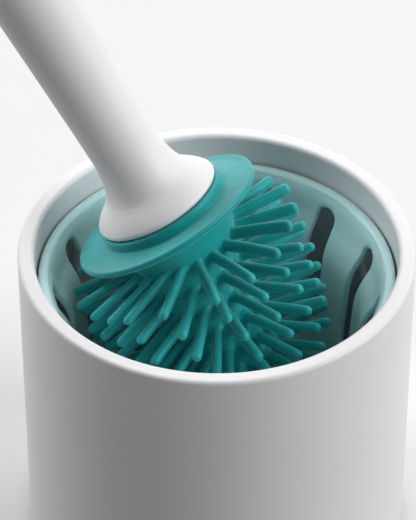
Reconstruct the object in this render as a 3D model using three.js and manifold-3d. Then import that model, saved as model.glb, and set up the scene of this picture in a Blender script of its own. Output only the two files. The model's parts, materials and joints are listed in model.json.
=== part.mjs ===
// Toilet brush with its standing holder: a thick-walled pot, a slotted drain liner hung inside it,
// and a silicone brush that leans in the liner.
// Millimetres, +Z up, origin at the middle of the pot's underside.
import * as THREE from "three";
import { mergeVertices } from "three/addons/utils/BufferGeometryUtils.js";
import Module from "manifold-3d";

const wasm = await Module();
wasm.setup();

// ---------------------------------------------------------------- driving dimensions
const FIT_GAP = 0.3; // clearance left between pieces that touch

// Pot
const POT_HEIGHT = 110;
const POT_RIM_RADIUS = 62.5;
const POT_RIM_WALL = 4.9;
const POT_DRAFT = 0.005; // radius lost per millimetre of depth
const POT_FLOOR = 4.2; // thickness of the floor
const POT_EDGE = 1.3; // rounding of the rim's outer edge
const POT_INNER_EDGE = 2.0; // rounding of the rim's inner edge
const POT_FOOT_EDGE = 3.0; // rounding of the bottom edge
const POT_STEPS = 48; // facets round the pot and the liner

// Anti-slip pad, let into the pot's underside
const PAD_RADIUS = 53.5;
const PAD_THICKNESS = 2.0;
const PAD_STANDS_PROUD = 0.8;
const PAD_EDGE = 0.4; // chamfer of its lower edge

// Support ribs inside the pot, which the liner's lip hangs on
const RIB_COUNT = 6;
const RIB_THICKNESS = 2.2;
const RIB_INNER_RADIUS = 53.8;
const RIB_HEIGHT = 26;
const RIB_ROOT = 1; // how far the rib reaches into the pot's wall
const RIB_FACE_SHARE = 0.6; // share of the rib's height where its inner edge stands upright

// Drain liner
const LIP_DEPTH = 9.5; // top of the lip below the pot's rim
const LIP_RADIUS = 55.9;
const LIP_THICKNESS = 2.4;
const LINER_WALL = 1.8;
const LINER_FLOOR_DEPTH = 67; // top of the liner's floor below the pot's rim
const SLOT_COUNT = 13;
const SLOT_WIDTH = 6.6;
const SLOT_TOP_DEPTH = 14.4;
const SLOT_BOTTOM_DEPTH = 55;
const SLOT_TURN = 17.85; // degrees from +X to the first slot
const LINER_FLOOR_ROUNDING = 5;
const LIP_EDGE = 1.1; // rounding of the lip's outer edge
const LIP_BEAD = 2.9; // rounding from the top of the lip into the wall
const DRAIN_HOLE_RADIUS = 3.0;
const DRAIN_RING_RADIUS = 24;
const DRAIN_RING_COUNT = 13;

// Brush: its own axis runs from the head up the handle, with the middle of the handle's base as origin
const BRUSH_LEAN = 31.35; // degrees from upright
const BRUSH_LEAN_HEADING = 158.2; // degrees from +X, the way the handle leans
const BRUSH_BASE_X = -18.3;
const BRUSH_BASE_Y = 9.0;
const BRUSH_BASE_ABOVE_RIM = 11.6;
const TURN_STEPS = 32; // facets round the handle and the head

// Handle
const HANDLE_LENGTH = 280;
const BELL_RADIUS = 20.5;
const BELL_EDGE = 1.2; // rounding of the bell's edge
const HANDLE_WALL = 2.6;
const CAP_HEIGHT = 9;
const CAP_SPIGOT = 12;
const CAP_ROUNDING = 6;
const CAP_CROWN = 0.6;

// Threaded socket pressed into the bell, and the steel tube that stands on it
const SOCKET_RADIUS = 8.0;
const SOCKET_HEIGHT = 24;
const SOCKET_BORE_DEPTH = 19;
const SOCKET_SHOULDER = 4; // the shell stays close round the tube this far above the socket
const HOLLOW_TAPER = 8; // least height over which the shell then opens out to its thin wall
const STUD_RADIUS = 6.0;
const STUD_HEIGHT = 17.5;
const STUD_CHAMFER = 1.2;
const TUBE_RADIUS = 6.0;
const TUBE_BORE = 5.0;
const TUBE_SPIGOT = 7; // how far a spigot stands into each end of the tube
const SPIGOT_CHAMFER = 0.8;
const SOCKET_CHAMFER = 0.5;

// Sealing washer between the bell and the head
const SEAL_RADIUS = 11.2;
const SEAL_THICKNESS = 1.6;
const SEAL_RECESS = 1.7;
const SEAL_EDGE = 0.3; // chamfer of the washer's edges

// Silicone head
const COLLAR_RADIUS = 21.2;
const COLLAR_HEIGHT = 3.2;
const COLLAR_EDGE = 0.5; // chamfer of the collar's edge and of its foot on the flange
const FLANGE_RADIUS = 30.7;
const FLANGE_EDGE = 2.0;
const FLANGE_DISH = 1.0; // drop of the flange from the collar to its rim
const NECK_RADIUS = 20.4;
const NECK_FILLET = 2.6; // height over which the flange's underside runs into the neck
const NECK_END = 14; // depth where the splash guard meets the bristle head
const NECK_END_RADIUS = 18.1;
const CORE_RADIUS = 17.4;
const CORE_START = 18; // depth from which the core has its full length of even radius
const CORE_END = 68.5; // depth of the core's rounded end below the handle's base
const CORE_DOME = 12;
const STEM_RADIUS = 9;
const STEM_END = 60;
const STEM_CHAMFER = 2;
const ANCHOR_RADIUS = 14;
const ANCHOR_THICKNESS = 2.6;
const ANCHOR_DEPTH = 3.4;

// Bristles
const BRISTLE_RADIUS = 1.65;
const BRISTLE_SIDES = 5;
const BRISTLE_ROOT = 1.5; // how far a bristle reaches into the core
const BRISTLE_TAPER = 0.85; // radius at the tip, as a share of the radius at the root
const BRISTLE_COLUMNS = 20;
const BRISTLE_FIRST_ROW = 19;
const BRISTLE_PITCH = 8;
const BRISTLE_STAGGER = 2; // every second column sits this much further down
// Rows round the core from the flange down: lean towards the head's end in degrees, and length
const ROWS = [
  { lean: 0, length: 19.6 },
  { lean: 0, length: 19.6 },
  { lean: 2, length: 19.6 },
  { lean: 6, length: 19.0 },
  { lean: 13, length: 17.6 },
  { lean: 24, length: 16.0 },
];
// Rings over the rounded end: lean in degrees, number of bristles and length
const END_RINGS = [
  { lean: 42, count: 16, length: 15.5 },
  { lean: 64, count: 8, length: 15.0 },
  { lean: 90, count: 1, length: 14.5 },
];

// ---------------------------------------------------------------- materials
const whitePlastic = new THREE.MeshStandardMaterial({ color: 0xe9e9ec, roughness: 0.55, metalness: 0 });
const mintPlastic = new THREE.MeshStandardMaterial({ color: 0xa5c8c5, roughness: 0.4, metalness: 0 });
const tealSilicone = new THREE.MeshStandardMaterial({ color: 0x149691, roughness: 0.45, metalness: 0 });
const greyRubber = new THREE.MeshStandardMaterial({ color: 0x8a8f92, roughness: 0.9, metalness: 0 });
const blackRubber = new THREE.MeshStandardMaterial({ color: 0x1c1f20, roughness: 0.8, metalness: 0 });
const naturalPlastic = new THREE.MeshStandardMaterial({ color: 0xd9dcd8, roughness: 0.5, metalness: 0 });
const steel = new THREE.MeshStandardMaterial({ color: 0xb9bcc0, roughness: 0.35, metalness: 1 });
const brass = new THREE.MeshStandardMaterial({ color: 0xb08d4a, roughness: 0.4, metalness: 1 });

// ---------------------------------------------------------------- helpers
const degrees = THREE.MathUtils.degToRad;

// A turned solid about +Z from its (radius, height) outline.
function turned(outline, steps) {
  const geometry = new THREE.LatheGeometry(
    outline.map(([radius, height]) => new THREE.Vector2(Math.max(radius, 0), height)),
    steps,
  );
  return geometry.rotateX(Math.PI / 2);
}

// Points of an arc round (centreRadius, centreHeight), from one angle to another, in degrees.
function arc(centreRadius, centreHeight, radius, from, to, steps) {
  const points = [];
  for (let i = 0; i <= steps; i++) {
    const angle = degrees(from + ((to - from) * i) / steps);
    points.push([centreRadius + radius * Math.cos(angle), centreHeight + radius * Math.sin(angle)]);
  }
  return points;
}

// A closed geometry as a manifold-3d solid, turned right side out.
function solid(geometry) {
  const bare = new THREE.BufferGeometry();
  const source = geometry.index ? geometry.toNonIndexed() : geometry;
  bare.setAttribute("position", source.getAttribute("position"));
  const merged = mergeVertices(bare, 1e-4);
  const corners = [];
  for (let i = 0; i < merged.index.count; i += 3) {
    const [a, b, c] = [merged.index.getX(i), merged.index.getX(i + 1), merged.index.getX(i + 2)];
    if (a !== b && b !== c && c !== a) corners.push(a, b, c);
  }
  const build = (triVerts) =>
    new wasm.Manifold(
      new wasm.Mesh({ numProp: 3, vertProperties: merged.attributes.position.array, triVerts }),
    );
  const made = build(new Uint32Array(corners));
  return made.volume() > 0 ? made : build(new Uint32Array(corners.reverse()));
}

// A manifold-3d solid back as a three.js geometry.
function geometryOf(made) {
  const mesh = made.getMesh();
  const geometry = new THREE.BufferGeometry();
  geometry.setAttribute("position", new THREE.BufferAttribute(new Float32Array(mesh.vertProperties), 3));
  geometry.setIndex(new THREE.BufferAttribute(new Uint32Array(mesh.triVerts), 1));
  geometry.computeVertexNormals();
  return geometry;
}

// Many solids joined in pairs.
function joined(solids) {
  let row = solids;
  while (row.length > 1) {
    const next = [];
    for (let i = 0; i < row.length; i += 2) next.push(row[i + 1] ? row[i].add(row[i + 1]) : row[i]);
    row = next;
  }
  return row[0];
}

function piece(name, geometry, material) {
  const mesh = new THREE.Mesh(geometry, material);
  mesh.name = name;
  return mesh;
}

// ---------------------------------------------------------------- pot
const potRadiusAt = (height) => POT_RIM_RADIUS - POT_DRAFT * (POT_HEIGHT - height);
const POT_BASE = PAD_STANDS_PROUD;
const potFloorTop = POT_BASE + POT_FLOOR;

function outerPot() {
  const innerRadiusAt = (height) => potRadiusAt(height) - POT_RIM_WALL;
  const recess = PAD_RADIUS + FIT_GAP;
  const recessTop = PAD_THICKNESS + FIT_GAP;
  const rimTop = POT_HEIGHT;
  const innerEdge = POT_RIM_RADIUS - POT_RIM_WALL + POT_INNER_EDGE;
  const footInside = innerRadiusAt(potFloorTop) - POT_FOOT_EDGE;
  const footOutside = potRadiusAt(POT_BASE) - POT_FOOT_EDGE;
  const outline = [
    [0, recessTop],
    [recess, recessTop],
    [recess, POT_BASE],
    ...arc(footOutside, POT_BASE + POT_FOOT_EDGE, POT_FOOT_EDGE, -90, 0, 4),
    ...arc(POT_RIM_RADIUS - POT_EDGE, rimTop - POT_EDGE, POT_EDGE, 0, 80, 3),
    ...arc(innerEdge, rimTop - POT_INNER_EDGE, POT_INNER_EDGE, 100, 180, 3),
    ...arc(footInside, potFloorTop + POT_FOOT_EDGE, POT_FOOT_EDGE, 0, -90, 3),
    [0, potFloorTop],
  ];
  const ribTop = POT_HEIGHT - LIP_DEPTH - LIP_THICKNESS - FIT_GAP;
  const ribOuter = innerRadiusAt(ribTop) + RIB_ROOT;
  const ribProfile = new THREE.Shape([
    new THREE.Vector2(RIB_INNER_RADIUS, ribTop),
    new THREE.Vector2(RIB_INNER_RADIUS, ribTop - RIB_HEIGHT * RIB_FACE_SHARE),
    new THREE.Vector2(ribOuter, ribTop - RIB_HEIGHT),
    new THREE.Vector2(ribOuter, ribTop),
  ]);
  const ribs = [];
  for (let i = 0; i < RIB_COUNT; i++) {
    const rib = new THREE.ExtrudeGeometry(ribProfile, { depth: RIB_THICKNESS, bevelEnabled: false });
    rib.translate(0, 0, -RIB_THICKNESS / 2);
    rib.rotateX(Math.PI / 2);
    rib.rotateZ((2 * Math.PI * (i + 0.5)) / RIB_COUNT);
    ribs.push(solid(rib));
  }
  return geometryOf(joined([solid(turned(outline, POT_STEPS)), ...ribs]));
}

function antiSlipPad() {
  return turned(
    [
      [0, 0],
      [PAD_RADIUS - PAD_EDGE, 0],
      [PAD_RADIUS, PAD_EDGE],
      [PAD_RADIUS, PAD_THICKNESS],
      [0, PAD_THICKNESS],
    ],
    POT_STEPS,
  );
}

// ---------------------------------------------------------------- drain liner
// Inside of the liner's wall below the lip's bead, as radius and depth below the pot's rim: upright,
// then an S-shaped step inwards.
const LINER_INSIDE = [
  [51.1, 12.4],
  [50.9, 15.0],
  [50.1, 18.6],
  [47.4, 23.2],
  [45.5, 28.6],
  [44.5, 37.0],
  [42.9, 60.5],
];

// The outline shifted outwards by the wall's thickness, square to the wall.
function offsetOutline(points, thickness) {
  return points.map((point, i) => {
    const before = points[Math.max(i - 1, 0)];
    const after = points[Math.min(i + 1, points.length - 1)];
    const along = new THREE.Vector2(after[0] - before[0], after[1] - before[1]).normalize();
    return [point[0] + along.y * thickness, point[1] - along.x * thickness];
  });
}

function drainLiner() {
  const heightOf = (depth) => POT_HEIGHT - depth;
  const inside = LINER_INSIDE.map(([radius, depth]) => [radius, heightOf(depth)]);
  const shifted = offsetOutline(LINER_INSIDE, LINER_WALL);
  const outside = shifted.map(([radius, depth]) => [radius, heightOf(depth)]);
  const wallTop = LINER_INSIDE[0][0];
  const footCentre = LINER_INSIDE[LINER_INSIDE.length - 1][0] - LINER_FLOOR_ROUNDING;
  const floorTop = heightOf(LINER_FLOOR_DEPTH);
  const lipTop = heightOf(LIP_DEPTH);
  const lipUnder = lipTop - LIP_THICKNESS;
  const lipChamfer = LIP_EDGE / 2;
  const footHeight = floorTop + LINER_FLOOR_ROUNDING;
  const outline = [
    [0, floorTop - LINER_WALL],
    ...arc(footCentre, footHeight, LINER_FLOOR_ROUNDING + LINER_WALL, -90, -10, 3),
    ...outside.reverse(),
    [outside[outside.length - 1][0], lipUnder],
    [LIP_RADIUS - lipChamfer, lipUnder],
    [LIP_RADIUS, lipUnder + lipChamfer],
    ...arc(LIP_RADIUS - LIP_EDGE, lipTop - LIP_EDGE, LIP_EDGE, 0, 90, 2),
    ...arc(wallTop + LIP_BEAD, lipTop - LIP_BEAD, LIP_BEAD, 90, 165, 4),
    ...inside,
    ...arc(footCentre, footHeight, LINER_FLOOR_ROUNDING, -10, -90, 3),
    [0, floorTop],
  ];
  const cutters = [];
  const half = SLOT_WIDTH / 2;
  const stadium = new THREE.Shape();
  stadium.moveTo(-half, -SLOT_BOTTOM_DEPTH + half);
  stadium.absarc(0, -SLOT_BOTTOM_DEPTH + half, half, Math.PI, 2 * Math.PI, false);
  stadium.absarc(0, -SLOT_TOP_DEPTH - half, half, 0, Math.PI, false);
  const reach = LIP_RADIUS / 2; // the cutter runs from half the lip's radius out past the wall
  for (let i = 0; i < SLOT_COUNT; i++) {
    const cutter = new THREE.ExtrudeGeometry(stadium, {
      depth: reach,
      bevelEnabled: false,
      curveSegments: 3,
    });
    cutter.rotateX(Math.PI / 2); // outline now stands in X and Z, extruded along -Y
    cutter.translate(0, reach - LIP_RADIUS, POT_HEIGHT);
    cutter.rotateZ(degrees(SLOT_TURN) + (2 * Math.PI * i) / SLOT_COUNT + Math.PI / 2);
    cutters.push(solid(cutter));
  }
  for (let i = 0; i <= DRAIN_RING_COUNT; i++) {
    const hole = new THREE.CylinderGeometry(DRAIN_HOLE_RADIUS, DRAIN_HOLE_RADIUS, 4 * LINER_WALL, 10);
    hole.rotateX(Math.PI / 2);
    const ring = i < DRAIN_RING_COUNT ? DRAIN_RING_RADIUS : 0;
    const angle = (2 * Math.PI * i) / DRAIN_RING_COUNT;
    hole.translate(ring * Math.cos(angle), ring * Math.sin(angle), floorTop - LINER_WALL / 2);
    cutters.push(solid(hole));
  }
  const body = solid(turned(outline, POT_STEPS));
  return geometryOf(cutters.reduce((made, cutter) => made.subtract(cutter), body));
}

// ---------------------------------------------------------------- brush handle
// Outside of the handle above the bell's edge, as radius and height: a convex bell, a waist, then a grip
// that swells and draws in again.
const HANDLE_OUTSIDE = [
  [19.1, 3.5],
  [17.1, 5.5],
  [15.4, 6.7],
  [14.0, 8.0],
  [12.8, 10.6],
  [11.8, 14.2],
  [11.1, 19.5],
  [11.1, 26],
  [11.7, 50],
  [12.6, 78],
  [13.6, 108],
  [14.6, 150],
  [15.0, 190],
  [14.6, 235],
  [13.8, HANDLE_LENGTH - CAP_HEIGHT],
];
const handleTopRadius = HANDLE_OUTSIDE[HANDLE_OUTSIDE.length - 1][0];
const handleTop = HANDLE_LENGTH - CAP_HEIGHT;
const spigotRadius = handleTopRadius - HANDLE_WALL - FIT_GAP;
const tubeTop = handleTop - CAP_SPIGOT - FIT_GAP;
const tubeBottom = SOCKET_HEIGHT + SEAL_RECESS + 2 * FIT_GAP;

function handleShell() {
  const socketBore = SOCKET_RADIUS + FIT_GAP;
  const sealBore = SEAL_RADIUS + FIT_GAP;
  const boreTop = tubeBottom + SOCKET_SHOULDER;
  const hollow = HANDLE_OUTSIDE.filter(([, height]) => height > boreTop + HOLLOW_TAPER);
  const inside = hollow.map(([radius, height]) => [radius - HANDLE_WALL, height]);
  return turned(
    [
      [socketBore, SEAL_RECESS],
      [sealBore, SEAL_RECESS],
      [sealBore, 0],
      ...arc(BELL_RADIUS - BELL_EDGE, BELL_EDGE, BELL_EDGE, -80, 30, 4),
      ...HANDLE_OUTSIDE,
      ...inside.reverse(),
      [socketBore, boreTop],
      [socketBore, SEAL_RECESS],
    ],
    TURN_STEPS,
  );
}

function handleEndCap() {
  const spigotBottom = handleTop - CAP_SPIGOT;
  const pin = TUBE_BORE - FIT_GAP;
  return turned(
    [
      [0, spigotBottom - TUBE_SPIGOT],
      [pin - SPIGOT_CHAMFER, spigotBottom - TUBE_SPIGOT],
      [pin, spigotBottom - TUBE_SPIGOT + SPIGOT_CHAMFER],
      [pin, spigotBottom],
      [spigotRadius - SPIGOT_CHAMFER, spigotBottom],
      [spigotRadius, spigotBottom + SPIGOT_CHAMFER],
      [spigotRadius, handleTop + FIT_GAP],
      [handleTopRadius, handleTop + FIT_GAP],
      ...arc(handleTopRadius - CAP_ROUNDING, HANDLE_LENGTH - CAP_ROUNDING, CAP_ROUNDING, 0, 80, 5),
      [0, HANDLE_LENGTH + CAP_CROWN],
    ],
    TURN_STEPS,
  );
}

function threadedSocket() {
  const bottom = SEAL_RECESS + FIT_GAP;
  const top = bottom + SOCKET_HEIGHT;
  const bore = STUD_RADIUS + FIT_GAP;
  const pin = TUBE_BORE - FIT_GAP;
  return turned(
    [
      [0, bottom + SOCKET_BORE_DEPTH],
      [bore, bottom + SOCKET_BORE_DEPTH],
      [bore, bottom],
      [SOCKET_RADIUS - SOCKET_CHAMFER, bottom],
      [SOCKET_RADIUS, bottom + SOCKET_CHAMFER],
      [SOCKET_RADIUS, top],
      [pin, top],
      [pin, top + TUBE_SPIGOT - SPIGOT_CHAMFER],
      [pin - SPIGOT_CHAMFER, top + TUBE_SPIGOT],
      [0, top + TUBE_SPIGOT],
    ],
    TURN_STEPS / 2,
  );
}

function stiffeningTube() {
  return turned(
    [
      [TUBE_BORE, tubeBottom],
      [TUBE_RADIUS, tubeBottom],
      [TUBE_RADIUS, tubeTop],
      [TUBE_BORE, tubeTop],
      [TUBE_BORE, tubeBottom],
    ],
    TURN_STEPS / 2,
  );
}

function sealingWasher() {
  const bore = STUD_RADIUS + FIT_GAP;
  const top = SEAL_THICKNESS - FIT_GAP;
  return turned(
    [
      [bore, SEAL_EDGE],
      [bore + SEAL_EDGE, 0],
      [SEAL_RADIUS - SEAL_EDGE, 0],
      [SEAL_RADIUS, SEAL_EDGE],
      [SEAL_RADIUS, top - SEAL_EDGE],
      [SEAL_RADIUS - SEAL_EDGE, top],
      [bore + SEAL_EDGE, top],
      [bore, top - SEAL_EDGE],
      [bore, SEAL_EDGE],
    ],
    TURN_STEPS / 2,
  );
}

// ---------------------------------------------------------------- brush head
function headCore() {
  return turned(
    [
      [0, -STEM_END],
      [STEM_RADIUS - STEM_CHAMFER, -STEM_END],
      [STEM_RADIUS, -STEM_END + STEM_CHAMFER],
      [STEM_RADIUS, -ANCHOR_DEPTH - ANCHOR_THICKNESS],
      [ANCHOR_RADIUS, -ANCHOR_DEPTH - ANCHOR_THICKNESS],
      [ANCHOR_RADIUS, -ANCHOR_DEPTH],
      [STUD_RADIUS, -ANCHOR_DEPTH],
      [STUD_RADIUS, STUD_HEIGHT - STUD_CHAMFER],
      [STUD_RADIUS - STUD_CHAMFER, STUD_HEIGHT],
      [0, STUD_HEIGHT],
    ],
    TURN_STEPS / 2,
  );
}

// One bristle as a solid: a slightly tapered finger with a blunt tip, rooted inside the core.
function bristle(depth, rootRadius, lean, length, turn) {
  const outline = [
    [0, -BRISTLE_ROOT],
    [BRISTLE_RADIUS, -BRISTLE_ROOT],
    [BRISTLE_RADIUS * BRISTLE_TAPER, length],
    [0, length],
  ];
  const finger = turned(outline, BRISTLE_SIDES);
  finger.rotateY(Math.PI / 2 + degrees(lean)); // from the axis out to +X, leaning down
  finger.translate(rootRadius, 0, -depth);
  finger.rotateZ(turn);
  return solid(finger);
}

// Radius of the core's surface and its depth, where a bristle of this lean leaves the rounded end.
function endRoot(lean) {
  const domeStart = CORE_END - CORE_DOME;
  return {
    radius: CORE_RADIUS * Math.cos(degrees(lean)),
    depth: domeStart + CORE_DOME * Math.sin(degrees(lean)),
  };
}

// Collar, flange and neck: the part of the silicone that the handle's bell sits on.
function splashGuard() {
  const top = -FIT_GAP;
  const bore = STUD_RADIUS + FIT_GAP;
  const anchorTop = -ANCHOR_DEPTH + FIT_GAP;
  const anchorBottom = -ANCHOR_DEPTH - ANCHOR_THICKNESS - FIT_GAP;
  const stem = STEM_RADIUS + FIT_GAP;
  const flangeTop = top - COLLAR_HEIGHT;
  const flangeRim = flangeTop - FLANGE_DISH;
  const flangeUnder = flangeRim - FLANGE_EDGE;
  const bottom = -NECK_END + FIT_GAP / 2;
  const outline = [
    [stem, bottom],
    [stem, anchorBottom],
    [ANCHOR_RADIUS + FIT_GAP, anchorBottom],
    [ANCHOR_RADIUS + FIT_GAP, anchorTop],
    [bore, anchorTop],
    [bore, top],
    [COLLAR_RADIUS - COLLAR_EDGE, top],
    [COLLAR_RADIUS, top - COLLAR_EDGE],
    [COLLAR_RADIUS, flangeTop + COLLAR_EDGE],
    [COLLAR_RADIUS + COLLAR_EDGE, flangeTop],
    ...arc(FLANGE_RADIUS - FLANGE_EDGE / 2, flangeRim - FLANGE_EDGE / 2, FLANGE_EDGE / 2, 90, -90, 4),
    [NECK_RADIUS + NECK_FILLET * 0.6, flangeUnder - NECK_FILLET * 0.35],
    [NECK_RADIUS, flangeUnder - NECK_FILLET],
    [NECK_END_RADIUS, bottom],
    [stem, bottom],
  ];
  return geometryOf(solid(turned(outline, TURN_STEPS)));
}

// The core with its rounded end, which the head core's stem fills, and its bristles.
function bristleHead() {
  const top = -NECK_END - FIT_GAP / 2;
  const stem = STEM_RADIUS + FIT_GAP;
  const domeStart = CORE_END - CORE_DOME;
  const dome = [];
  const domeSteps = 5;
  for (let i = 0; i <= domeSteps; i++) {
    const root = endRoot((90 * i) / domeSteps);
    dome.push([i === domeSteps ? 0 : root.radius, -root.depth]);
  }
  const outline = [
    [0, -STEM_END - FIT_GAP],
    [stem, -STEM_END - FIT_GAP],
    [stem, top],
    [NECK_END_RADIUS, top],
    [CORE_RADIUS, -CORE_START],
    ...dome,
  ];
  const solids = [solid(turned(outline, TURN_STEPS))];
  ROWS.forEach(({ lean, length }, row) => {
    const depth = BRISTLE_FIRST_ROW + BRISTLE_PITCH * row;
    for (let i = 0; i < BRISTLE_COLUMNS; i++) {
      const root = Math.min(depth + (i % 2) * BRISTLE_STAGGER, domeStart);
      solids.push(bristle(root, CORE_RADIUS, lean, length, (2 * Math.PI * i) / BRISTLE_COLUMNS));
    }
  });
  END_RINGS.forEach(({ lean, count, length }, ring) => {
    const root = endRoot(lean);
    for (let i = 0; i < count; i++) {
      const turn = (2 * Math.PI * (i + 0.5 * (ring % 2))) / count;
      solids.push(bristle(root.depth, root.radius, lean, length, turn));
    }
  });
  return geometryOf(joined(solids));
}

// ---------------------------------------------------------------- assembly
const holder = new THREE.Group();
holder.add(
  piece("outer_pot", outerPot(), whitePlastic),
  piece("anti_slip_pad", antiSlipPad(), greyRubber),
  piece("drain_liner", drainLiner(), mintPlastic),
);

const brush = new THREE.Group();
brush.add(
  piece("head_core", headCore(), naturalPlastic),
  piece("splash_guard", splashGuard(), tealSilicone),
  piece("bristle_head", bristleHead(), tealSilicone),
  piece("sealing_washer", sealingWasher(), blackRubber),
  piece("threaded_socket", threadedSocket(), brass),
  piece("stiffening_tube", stiffeningTube(), steel),
  piece("handle_shell", handleShell(), whitePlastic),
  piece("handle_end_cap", handleEndCap(), whitePlastic),
);
brush.position.set(BRUSH_BASE_X, BRUSH_BASE_Y, POT_HEIGHT + BRUSH_BASE_ABOVE_RIM);
brush.rotation.order = "ZYX";
brush.rotation.set(0, degrees(BRUSH_LEAN), degrees(BRUSH_LEAN_HEADING));

const assembly = new THREE.Group();
assembly.add(holder, brush);

export default assembly;
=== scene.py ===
"""Looks for the silicone toilet brush and its holder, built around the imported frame.

Outlines are in millimetres and are scaled to metres when a mesh is made. Every part of the brush is built
about its own axis, with the middle of the handle's base as origin and +Z up the handle, and is then set on
the frame's axis.
"""
import json
import math

import bmesh
import bpy
import numpy as np
from mathutils import Matrix, Vector


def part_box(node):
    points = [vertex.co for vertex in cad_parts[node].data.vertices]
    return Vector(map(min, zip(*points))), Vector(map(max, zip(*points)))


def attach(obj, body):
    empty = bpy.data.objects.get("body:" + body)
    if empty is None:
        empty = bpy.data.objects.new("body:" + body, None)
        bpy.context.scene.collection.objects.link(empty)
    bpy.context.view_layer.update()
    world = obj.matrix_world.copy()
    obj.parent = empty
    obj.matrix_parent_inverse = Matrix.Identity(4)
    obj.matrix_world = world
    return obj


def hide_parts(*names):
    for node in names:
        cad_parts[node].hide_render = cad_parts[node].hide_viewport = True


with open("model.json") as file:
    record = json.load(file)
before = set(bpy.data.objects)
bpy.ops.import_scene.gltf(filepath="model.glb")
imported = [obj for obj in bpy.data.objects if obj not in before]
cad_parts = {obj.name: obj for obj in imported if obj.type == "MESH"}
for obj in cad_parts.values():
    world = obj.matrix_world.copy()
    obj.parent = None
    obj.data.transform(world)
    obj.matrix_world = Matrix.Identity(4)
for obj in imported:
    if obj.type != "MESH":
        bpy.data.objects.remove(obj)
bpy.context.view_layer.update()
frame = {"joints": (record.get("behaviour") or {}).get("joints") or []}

MM = 0.001
TAU = 2 * math.pi
WELD = 1e-7  # distance in metres within which points are one
SHARP = 40  # degrees between faces beyond which their edge shades sharp
SOFT_SHARP = 60  # the same for rubber and silicone with rounded edges

# ---------------------------------------------------------------- sizes taken from the frame
JOINTS = {joint["name"]: joint for joint in frame["joints"]}
POT_LOW, POT_HIGH = (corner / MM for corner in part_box("outer_pot"))
PAD_LOW, PAD_HIGH = (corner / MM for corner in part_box("anti_slip_pad"))
RIM_Z = POT_HIGH.z
RIM_RADIUS = POT_HIGH.x
POT_BASE = POT_LOW.z
LIP_EXTRA = 0.4  # the lip's gap to the pot's wall is this much finer than in the CAD
LIP_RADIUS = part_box("drain_liner")[1].x / MM + LIP_EXTRA
LINER_LOW_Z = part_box("drain_liner")[0].z / MM
BRUSH_AXIS = Vector(JOINTS["handle_unscrew"]["axis"]).normalized()
BRUSH_BASE = Vector(JOINTS["handle_unscrew"]["pos_m"])
THREAD_PITCH = 3.5  # the handle's travel in one turn

# ---------------------------------------------------------------- mesh helpers


def arc(centre_radius, centre_height, radius, start, end, steps):
    """Points of an arc, from one angle to another in degrees, as (radius, height)."""
    angles = [math.radians(start + (end - start) * i / steps) for i in range(steps + 1)]
    return [(centre_radius + radius * math.cos(a), centre_height + radius * math.sin(a)) for a in angles]


def smooth_line(points, steps):
    """A smooth curve through a few points (Catmull-Rom)."""
    ends = [points[0], *points, points[-1]]
    line = []
    for i in range(len(points) - 1):
        p0, p1, p2, p3 = (np.array(p, float) for p in ends[i:i + 4])
        for j in range(steps):
            t = j / steps
            line.append(tuple(0.5 * (2 * p1 + (p2 - p0) * t + (2 * p0 - 5 * p1 + 4 * p2 - p3) * t * t
                                     + (3 * p1 - p0 - 3 * p2 + p3) * t ** 3)))
    return [*line, points[-1]]


def held(outline, reach=0.35):
    """The outline with points added near the ends of its long stretches, so that they shade flat."""
    line = []
    for a, b in zip(outline, outline[1:]):
        line.append(a)
        length = math.dist(a, b)
        if length > 5 * reach:
            for share in (reach / length, 1 - reach / length):
                line.append(tuple(p + (q - p) * share for p, q in zip(a, b)))
    return [*line, outline[-1]]


class Shell:
    """Vertices and faces of one piece while it is being built, in millimetres."""

    def __init__(self):
        self.points = []
        self.faces = []

    def add(self, points):
        """Adds points and returns their numbers."""
        first = len(self.points)
        self.points.extend(tuple(p) for p in points)
        return list(range(first, len(self.points)))

    def strip(self, row, following):
        """Faces between two closed rows of the same length."""
        for i in range(len(row)):
            j = (i + 1) % len(row)
            self.faces.append((row[i], row[j], following[j], following[i]))

    def strips(self, rows):
        """A strip from each closed row to the next."""
        for row, following in zip(rows, rows[1:]):
            self.strip(row, following)

    def fan(self, row, centre):
        """Triangles from a closed row to one point."""
        for i, a in enumerate(row):
            self.faces.append((a, row[(i + 1) % len(row)], centre))

    def turned(self, outline, steps, radius_at=None):
        """A turned surface about +Z. radius_at(radius, height, angle) can vary the radius round the axis."""
        rows = []
        for radius, height in outline:
            if radius < 1e-6:
                rows.append(self.add([(0, 0, height)]))
                continue
            row = []
            for i in range(steps):
                angle = TAU * i / steps
                r = radius_at(radius, height, angle) if radius_at else radius
                row.append((r * math.cos(angle), r * math.sin(angle), height))
            rows.append(self.add(row))
        for row, following in zip(rows, rows[1:]):
            if len(row) == 1 and len(following) > 1:
                self.fan(following, row[0])
            elif len(following) == 1 and len(row) > 1:
                self.fan(row, following[0])
            elif len(row) > 1:
                self.strip(row, following)
        return rows


def closed_mesh(name, shell, placed=None, dissolve=True):
    """A mesh of the shell in metres, welded, shaded smooth and with its faces pointing out."""
    mesh = bpy.data.meshes.new(name)
    mesh.from_pydata([Vector(p) * MM for p in shell.points], [], shell.faces)
    work = bmesh.new()
    work.from_mesh(mesh)
    bmesh.ops.remove_doubles(work, verts=work.verts, dist=WELD)
    if dissolve:
        bmesh.ops.dissolve_degenerate(work, edges=work.edges, dist=WELD / 10)
    bmesh.ops.recalc_face_normals(work, faces=work.faces)
    if placed is not None:
        bmesh.ops.transform(work, matrix=placed, verts=work.verts)
    work.to_mesh(mesh)
    work.free()
    mesh.shade_smooth()
    return mesh


def mesh_piece(name, shell, material, body, nodes, placed=None, sharp=SHARP):
    """A closed mesh object from a shell, on its body, standing for its CAD nodes."""
    mesh = closed_mesh(name, shell, placed)
    mesh.set_sharp_from_angle(angle=math.radians(sharp))
    piece = bpy.data.objects.new(name, mesh)
    bpy.context.scene.collection.objects.link(piece)
    piece.data.materials.append(material)
    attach(piece, body)
    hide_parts(*nodes)
    return piece


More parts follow.
